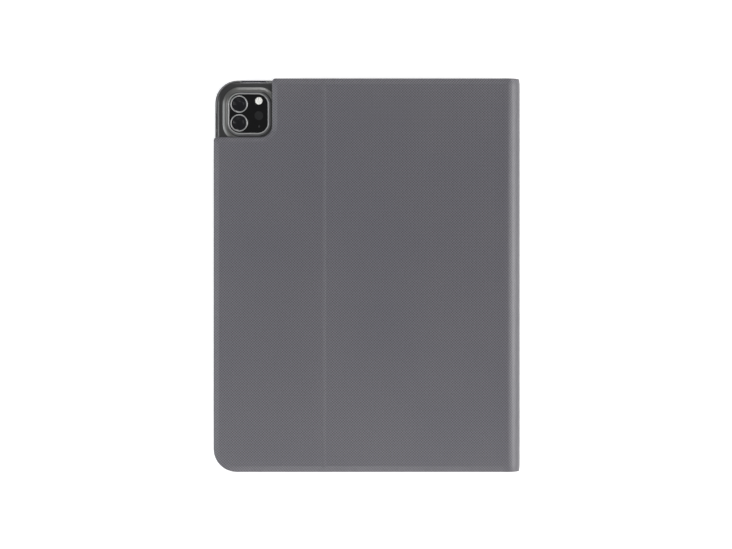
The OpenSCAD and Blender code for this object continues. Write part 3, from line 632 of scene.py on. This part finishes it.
# %% Finishes for the hard parts
finishes = {
    "tray_polymer": grained("tray_plastic", (0.019, 0.019, 0.0195), (0.026, 0.026, 0.0265), 0.27, fine=1200,
                            bump=0.000004, specular=0.6),
    "case_plastic": grained("case_plastic", (0.050, 0.050, 0.055), (0.066, 0.066, 0.072), 0.55, fine=4500),
    "keycap_plastic": grained("keycap_plastic", (0.030, 0.031, 0.035), (0.040, 0.041, 0.046), 0.48, blotch=90,
                              fine=5000, bump=0.000012),
    "deck_metal": grained("deck_metal", (0.17, 0.17, 0.19), (0.21, 0.21, 0.23), 0.42, blotch=25, fine=7000,
                          bump=0.00001, metallic=0.85),
    "tablet_metal": grained("tablet_metal", (0.22, 0.22, 0.23), (0.27, 0.27, 0.28), 0.36, blotch=25,
                            fine=8000, bump=0.000008, metallic=0.9),
    "camera_metal": grained("camera_metal", (0.42, 0.42, 0.42), (0.48, 0.48, 0.48), 0.42, blotch=120,
                            fine=900, bump=0.0, metallic=1.0),
    "plated_steel": grained("plated_steel", (0.50, 0.50, 0.52), (0.60, 0.60, 0.62), 0.28, metallic=1.0),
    "magnet_plate": grained("magnet_plating", (0.55, 0.55, 0.56), (0.64, 0.64, 0.65), 0.2, metallic=1.0),
    "sheet_steel": grained("stamped_sheet", (0.50, 0.51, 0.53), (0.58, 0.59, 0.61), 0.38, metallic=1.0,
                           stretch=(1, 12, 1)),
    "stiffener_board": grained("pressed_board", (0.24, 0.20, 0.15), (0.34, 0.29, 0.22), 0.85, blotch=350,
                               fine=1500, bump=0.00006),
    "rest_rubber": grained("soft_rubber", (0.034, 0.034, 0.038), (0.046, 0.046, 0.051), 0.8, fine=3500),
    "silicone": grained("dome_silicone", (0.70, 0.72, 0.73), (0.80, 0.82, 0.83), 0.45, fine=1500),
    "printed_film": grained("membrane_film", (0.70, 0.57, 0.30), (0.80, 0.68, 0.42), 0.35, fine=900,
                            bump=0.00001),
    "circuit_board": grained("solder_mask", (0.022, 0.13, 0.07), (0.04, 0.19, 0.11), 0.35, blotch=500,
                             fine=1500),
    "battery_foil": grained("foil_pouch", (0.55, 0.56, 0.58), (0.68, 0.69, 0.71), 0.4, metallic=0.9, fine=600,
                            bump=0.00008),
    "indicator": grained("light_pipe", (0.74, 0.84, 0.74), (0.86, 0.96, 0.86), 0.3, blotch=900),
    "trackpad_glass": grained("etched_glass", (0.105, 0.105, 0.115), (0.125, 0.125, 0.135), 0.33, blotch=20,
                              fine=9000, bump=0.000004, coat=0.2),
    "tablet_glass": grained("screen_glass", (0.006, 0.006, 0.008), (0.009, 0.009, 0.012), 0.05, blotch=8,
                            bump=0.0, coat=0.5),
    "camera_cover_glass": grained("camera_cover_glass", (0.0012, 0.0012, 0.0015), (0.0024, 0.0024, 0.0028),
                                  0.06, blotch=40, bump=0.0),
    "lens": grained("lens_coating", (0.003, 0.0032, 0.0045), (0.006, 0.006, 0.008), 0.12, blotch=250,
                    bump=0.0),
    "flash": grained("flash_diffuser", (0.42, 0.42, 0.39), (0.92, 0.91, 0.87), 0.3, blotch=1300, fine=1500,
                     bump=0.00006),
}
print("finishes:", len(finishes))

# %% [markdown]
# ## Softening the engineering shapes
# No moulded or milled part has a truly sharp edge, and it is the thin bright line along an edge that makes
# it look real. A copy of the part is welded, its flat areas are merged, and a small bevel is run along the
# sharp edges only. The copy then stands for the part.

# %% Soft-edged copies
def welded_copy(part, name):
    piece = bpy.data.objects.new(name, nodes[part].data.copy())
    bpy.context.scene.collection.objects.link(piece)
    work_on(piece)
    bpy.ops.object.mode_set(mode="EDIT")
    bpy.ops.mesh.select_all(action="SELECT")
    bpy.ops.mesh.remove_doubles(threshold=2e-6)
    bpy.ops.mesh.dissolve_limited(angle_limit=math.radians(0.4))
    bpy.ops.object.mode_set(mode="OBJECT")
    return piece


def pick_faces(piece, wanted):
    """Goes to edit mode with just the wanted faces selected."""
    bpy.context.tool_settings.mesh_select_mode = (False, False, True)
    bpy.ops.object.mode_set(mode="EDIT")
    bpy.ops.mesh.select_all(action="DESELECT")
    bpy.ops.object.mode_set(mode="OBJECT")
    for face in piece.data.polygons:
        face.select = bool(wanted(face))
    bpy.ops.object.mode_set(mode="EDIT")


def soften(piece, edge, segments=2, limit=32, smooth=40):
    work_on(piece)
    bevel = piece.modifiers.new("edge", "BEVEL")
    bevel.width, bevel.segments, bevel.limit_method = edge, segments, "ANGLE"
    bevel.angle_limit, bevel.use_clamp_overlap, bevel.harden_normals = math.radians(limit), True, False
    bpy.ops.object.modifier_apply(modifier="edge")
    bpy.ops.object.shade_smooth_by_angle(angle=math.radians(smooth))
    flat = piece.modifiers.new("flat", "WEIGHTED_NORMAL")       # keeps wide faces flat beside a rounded edge
    flat.keep_sharp = True
    bpy.ops.object.modifier_apply(modifier="flat")
    return piece


def stands_for(piece, part, slot):
    dress(piece, finishes[slot])
    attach(piece, nodes[part]["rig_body"])
    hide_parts(part)


SOFT_EDGED = [                              # part, new name, edge in mm, segments, material slot
    ("tray", "moulded_tray", 0.22, 2, "tray_polymer"),
    ("volume_up_pad", "volume_up_button", 0.45, 3, "tray_polymer"),
    ("volume_down_pad", "volume_down_button", 0.45, 3, "tray_polymer"),
    ("tablet_housing", "tablet_shell", 0.4, 3, "tablet_metal"),
    ("tablet_volume_up_key", "tablet_volume_up", 0.2, 2, "tablet_metal"),
    ("tablet_volume_down_key", "tablet_volume_down", 0.2, 2, "tablet_metal"),
    ("tablet_power_key", "tablet_power", 0.2, 2, "tablet_metal"),
    ("tablet_screen", "tablet_front_glass", 0.2, 2, "tablet_glass"),
    ("camera_bezel", "camera_border", 0.28, 3, "camera_metal"),
    ("camera_glass", "camera_cover", 0.08, 2, "camera_cover_glass"),
    ("lens_rings", "lens_trim_rings", 0.22, 3, "camera_metal"),
    ("keyboard_lower_case", "keyboard_tub", 0.3, 2, "case_plastic"),
    ("keyboard_deck", "keyboard_deck_plate", 0.12, 1, "deck_metal"),
    ("trackpad", "trackpad_plate", 0.15, 2, "trackpad_glass"),
    ("tablet_rest", "tablet_rest_strip", 0.35, 2, "rest_rubber"),
    ("screen_bumpers", "screen_bumper_pads", 0.2, 2, "rest_rubber"),
    ("power_switch", "power_switch_knob", 0.2, 2, "case_plastic"),
    ("charge_port", "charging_socket", 0.08, 1, "plated_steel"),
    ("indicator_lights", "indicator_pipes", 0.1, 2, "indicator"),
]
for part, name, edge, segments, slot in SOFT_EDGED:
    piece = soften(welded_copy(part, name), edge * MM, segments)
    stands_for(piece, part, slot)
    print(name, len(piece.data.polygons), end="; ")
print()

# %% [markdown]
# ## The window over the power key
# The tray's edge is cut back over the tablet's power key, so that the key and the metal beside it can be
# seen and reached from the back.

# %% Power key window
def block_at(name, low, high, corner):
    """A closed block with rounded edges."""
    deselect()
    bpy.ops.mesh.primitive_cube_add(size=1, location=(low + high) / 2)
    piece = bpy.context.active_object
    piece.name = piece.data.name = name
    piece.scale = high - low
    bpy.ops.object.transform_apply(location=True, rotation=True, scale=True)
    rounding = piece.modifiers.new("rounding", "BEVEL")
    rounding.width, rounding.segments, rounding.limit_method = corner, 6, "ANGLE"
    bpy.ops.object.modifier_apply(modifier="rounding")
    return piece


def boolean(piece, tool, operation):
    work_on(piece)
    cut = piece.modifiers.new("cut", "BOOLEAN")
    cut.operation, cut.object, cut.solver = operation, tool, "EXACT"
    bpy.ops.object.modifier_apply(modifier="cut")
    bpy.data.objects.remove(tool)


tray_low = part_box("tray")[0]
key_low, key_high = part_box("tablet_power_key")
key_y = (key_low.y + key_high.y) / 2
WINDOW_HALF = 0.0093                        # half its length along the tray's edge
WINDOW_IN = 0.0022                          # how far it is cut in from that edge
WINDOW_FLOOR, WINDOW_TOP = 0.0152, 0.024
WINDOW_ROUND = 0.0012
PAST_TRAY = 0.005                           # how far the cutting block stands out of the tray
window_low = Vector((tray_low.x - PAST_TRAY, key_y - WINDOW_HALF, WINDOW_FLOOR))
window_high = Vector((tray_low.x + WINDOW_IN, key_y + WINDOW_HALF, WINDOW_TOP))
moulded_tray = bpy.data.objects["moulded_tray"]
boolean(moulded_tray, block_at("window_block", window_low, window_high, WINDOW_ROUND), "DIFFERENCE")
work_on(moulded_tray)
bpy.ops.object.shade_smooth_by_angle(angle=math.radians(40))
# The volume buttons get a plastic darker than the tray's: painted shade that keeps them dark where the side
# lamp lights them.
shaded_pad_finish = grained("pad_plastic_painted_shade", (0.008, 0.008, 0.0085), (0.012, 0.012, 0.0125), 0.5, fine=1200,
                     bump=0.000004)
for name in ("volume_up_button", "volume_down_button"):
    dress(bpy.data.objects[name], shaded_pad_finish)
print("window middle:", round(key_y / MM, 1), "mm")

# %% [markdown]
# ## Keycaps
# A fingertip sits in a shallow dish. The tops of the keys are selected by their height and drawn in twice,
# each time a little lower, and then the rim gets its soft edge.

# %% Dished keycaps
KEY_ROWS = ["keys_function_row", "keys_number_row", "keys_top_letter_row", "keys_home_row",
            "keys_bottom_letter_row", "keys_modifier_row", "space_bar"]


DISH = [(0.0004, 0.0), (0.0005, -0.00007), (0.0006, -0.00006)]     # inwards, upwards
TOP_SLACK = 0.00005                         # a face this near the top belongs to it
KEYCAP_EDGE = 0.0003


def dished(part, name):
    piece = welded_copy(part, name)
    top = max(v.co.z for v in piece.data.vertices)
    pick_faces(piece, lambda face: face.normal.z > 0.9 and abs(face.center.z - top) < TOP_SLACK)
    for inward, up in DISH:
        bpy.ops.mesh.inset(thickness=inward, depth=up, use_individual=True)
    bpy.ops.object.mode_set(mode="OBJECT")
    return soften(piece, KEYCAP_EDGE, 2, limit=50, smooth=30)


for part in KEY_ROWS:
    piece = dished(part, part.replace("keys_", "keycaps_") if part != "space_bar" else "space_bar_cap")
    stands_for(piece, part, "keycap_plastic")
    print(piece.name, len(piece.data.polygons), end="; ")
print()

# %% [markdown]
# ## Drawing a face in
# The guard, the lenses, the flash and the microphone all have a stepped section that runs round them. Each
# starts as one flat face, which is inset again and again, every time a little higher or lower. That gives
# one clean ring of faces for every step.

# %% Plates and discs to draw in
def new_plate(name, centre, size, corner_radius, z, corner_steps=10):
    """A flat face with rounded corners, left in edit mode with the face selected."""
    deselect()
    bpy.ops.mesh.primitive_plane_add(size=1, location=(centre[0], centre[1], z))
    piece = bpy.context.active_object
    piece.name = piece.data.name = name
    piece.scale = (size, size, 1)
    bpy.ops.object.transform_apply(location=True, rotation=True, scale=True)
    bpy.context.tool_settings.mesh_select_mode = (True, False, False)
    bpy.ops.object.mode_set(mode="EDIT")
    bpy.ops.mesh.select_all(action="SELECT")
    bpy.ops.mesh.bevel(offset=corner_radius, segments=corner_steps, affect="VERTICES")
    bpy.context.tool_settings.mesh_select_mode = (False, False, True)
    bpy.ops.mesh.select_all(action="SELECT")
    return piece


def new_disc(name, centre, radius, z, sides=48):
    """A flat round face, left in edit mode with the face selected."""
    deselect()
    bpy.ops.mesh.primitive_circle_add(vertices=sides, radius=radius, fill_type="NGON", location=(*centre, z))
    piece = bpy.context.active_object
    piece.name = piece.data.name = name
    bpy.ops.object.transform_apply(location=True, rotation=True, scale=True)
    bpy.context.tool_settings.mesh_select_mode = (False, False, True)
    bpy.ops.object.mode_set(mode="EDIT")
    bpy.ops.mesh.select_all(action="SELECT")
    return piece


def draw_in(steps):
    """Insets the selected face again and again; each step is (inwards, upwards) in mm."""
    for inward, up in steps:
        bpy.ops.mesh.inset(thickness=inward * MM, depth=up * MM)


def finish_edit(piece, smooth=40):
    bpy.ops.object.mode_set(mode="OBJECT")
    bpy.ops.object.shade_smooth_by_angle(angle=math.radians(smooth))
    return piece


# %% [markdown]
# ## Round the camera
# The tray rises to a soft guard round the camera: a long slope, a narrow crest and a steep inside.
# It starts as a flat plate with rounded corners, which is drawn in step by step while it goes up and
# down. Its middle is then removed, its underside closed, and it is cut back to the cover's cut-out.

# %% Camera guard
camera_low, camera_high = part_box("camera_bezel")
camera_centre = (camera_low + camera_high) / 2
CAMERA_SIDE = camera_high.x - camera_low.x
CAMERA_R = 0.0082                           # corner radius of the camera's border
tray_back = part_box("tray")[1].z
GUARD_REACH = 0.0042                        # from the camera's border to the foot of the slope
OFF_CENTRE = 0.00055                        # the opening is a little wider towards the middle of the cover
SIDEWAYS = 1.7                              # the shift across the cover is this many times the one along it
guard_centre = camera_centre + Vector((OFF_CENTRE, SIDEWAYS * OFF_CENTRE, 0))
GUARD_PROFILE = [(4.2, 0), (3.95, 0.1), (2.7, 0.44), (1.75, 0.6), (1.45, 0.6), (1.15, 0.46), (0.8, 0.12),
                 (0.7, -0.6)]               # in mm: outwards from the camera, and up from the tray's back
guard = new_plate("camera_guard_ring", guard_centre, CAMERA_SIDE + 2 * (GUARD_REACH + OFF_CENTRE),
                  CAMERA_R + GUARD_REACH, tray_back)
draw_in([(a[0] - b[0], b[1] - a[1]) for a, b in zip(GUARD_PROFILE, GUARD_PROFILE[1:])])
bpy.ops.mesh.delete(type="FACE")
bpy.context.tool_settings.mesh_select_mode = (False, True, False)
bpy.ops.mesh.select_non_manifold()
bpy.ops.mesh.bridge_edge_loops()
bpy.ops.mesh.select_all(action="SELECT")
bpy.ops.mesh.normals_make_consistent(inside=False)
finish_edit(guard)
print("guard faces before it is cut back:", len(guard.data.polygons))

# %% Cut the guard back to the cut-out
CLEAR = 0.0004                              # from the guard to the edge of the cloth
CUTTER_BELOW, CUTTER_TALL = 0.002, 0.006
corner_x, corner_y = NOTCH_X - CLEAR, NOTCH_Y - CLEAR
past_x, past_y = -HALF_LENGTH - WELL_PAST, -FREE - WELL_PAST
window = outline([(past_x, past_y, 0), (corner_x, past_y, 0),
                  (corner_x, corner_y, NOTCH_FILLET - CLEAR), (past_x, corner_y, 0)])
cutter_mesh = bmesh.new()
floor_face = cutter_mesh.faces.new(ring(cutter_mesh, window, tray_back - CUTTER_BELOW))
lifted = bmesh.ops.extrude_face_region(cutter_mesh, geom=[floor_face])["geom"]
lifted_points = [g for g in lifted if isinstance(g, bmesh.types.BMVert)]
bmesh.ops.translate(cutter_mesh, verts=lifted_points, vec=(0, 0, CUTTER_TALL))
bmesh.ops.recalc_face_normals(cutter_mesh, faces=cutter_mesh.faces)
cutter_data = bpy.data.meshes.new("window_cutter")
cutter_mesh.to_mesh(cutter_data)
cutter = bpy.data.objects.new("window_cutter", cutter_data)
bpy.context.scene.collection.objects.link(cutter)
boolean(guard, cutter, "INTERSECT")
bpy.ops.object.shade_smooth_by_angle(angle=math.radians(40))
stands_for(guard, "camera_guard", "tray_polymer")
# The guard's plastic is painted lighter than the tray's: a painted sheen for the light its slopes catch, on
# top of its real gloss.
dress(guard, grained("guard_plastic_painted_sheen", (0.052, 0.052, 0.049), (0.066, 0.066, 0.062), 0.3, fine=1200,
                     bump=0.000004, specular=0.9))
print("guard faces:", len(guard.data.polygons))

# %% [markdown]
# ## Lenses, flash and microphone
# Each lens is a disc drawn in to a stepped black funnel with a small domed glass at the bottom. The flash
# is a disc of fine rings. The microphone is a pinhole with a bright rim.

# %% Lens stacks, flash and microphone
lens_low, lens_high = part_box("lens_glasses")
LENS_R = 0.00545                            # radius of each lens inside its ring
lens_xs = (lens_low.x + LENS_R, lens_high.x - LENS_R)
lens_y = (lens_low.y + lens_high.y) / 2
LENS_STEPS = [(0.35, -0.12), (0.9, -0.02), (0.12, -0.1), (0.9, -0.02), (0.12, -0.06), (0.75, -0.01),
              (0.1, 0.03), (0.35, 0.05), (0.45, 0.035), (0.5, 0.015)]
for k, x in enumerate(lens_xs):
    lens = new_disc("lens_stack_%d" % (k + 1), (x, lens_y), LENS_R, lens_high.z)
    draw_in(LENS_STEPS)
    dress(finish_edit(lens, 20), finishes["lens"])
    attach(lens, "back_cover")
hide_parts("lens_glasses")
print("lenses at", [round(x / MM, 1) for x in lens_xs], "mm")

# %% Flash, depth sensor and microphone
FLASH_STEPS = [(0.02, 0.08), (0.18, 0.04), (0.05, -0.05)] + [(0.2, 0.06), (0.05, -0.06)] * 4 + [(0.4, 0.05)]
FLASH_SUNK = 0.0001
flash_low, flash_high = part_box("flash_lens")
flash_centre = (flash_low + flash_high) / 2
flash = new_disc("flash_window", flash_centre[:2], (flash_high.x - flash_low.x) / 2,
                 flash_high.z - FLASH_SUNK)
draw_in(FLASH_STEPS)
finish_edit(flash, 15)
stands_for(flash, "flash_lens", "flash")

sensor_glass = grained("sensor_window", (0.005, 0.0052, 0.0056), (0.008, 0.0083, 0.0088), 0.3,
                       blotch=300, bump=0.0)
SENSOR_EDGE = 0.00004
sensor = soften(welded_copy("depth_sensor_window", "depth_sensor_disc"), SENSOR_EDGE, 1)
dress(sensor, sensor_glass)
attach(sensor, "back_cover")
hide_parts("depth_sensor_window")
glass_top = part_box("camera_glass")[1].z
MICROPHONE_AT, MICROPHONE_R = (-0.1081, -0.0785), 0.0006
MICROPHONE_SUNK = 0.00002
MICROPHONE_STEPS = [(0.02, 0.05), (0.16, 0.0), (0.06, -0.12), (0.2, -0.05)]
microphone = new_disc("camera_microphone", MICROPHONE_AT, MICROPHONE_R, glass_top - MICROPHONE_SUNK, 20)
draw_in(MICROPHONE_STEPS)
finish_edit(microphone, 20)
dress(microphone, finishes["tablet_metal"])
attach(microphone, "back_cover")
print("flash, sensor and microphone faces:", [len(p.data.polygons) for p in (flash, sensor, microphone)])

# %% [markdown]
# ## Parts that stay as they are
# What lies inside, such as the boards, magnets and circuits, keeps its engineering shape and only gets its
# finish.

# %% Finishes for the parts inside
KEEP = {"front_board": "stiffener_board", "back_board_free_side": "stiffener_board",
        "back_board_spine_side": "stiffener_board", "front_magnets": "magnet_plate",
        "back_magnets": "magnet_plate", "key_backplate": "sheet_steel", "membrane_circuit": "printed_film",
        "dome_sheet": "silicone", "main_board": "circuit_board", "batteries": "battery_foil",
        "trackpad_board": "circuit_board", "case_screws": "plated_steel", "tablet_battery": "battery_foil"}
for part, slot in KEEP.items():
    dress(nodes[part], finishes[slot])
left = [n for n, o in nodes.items() if not o.hide_render and n not in KEEP]
print("parts without a finish:", left)
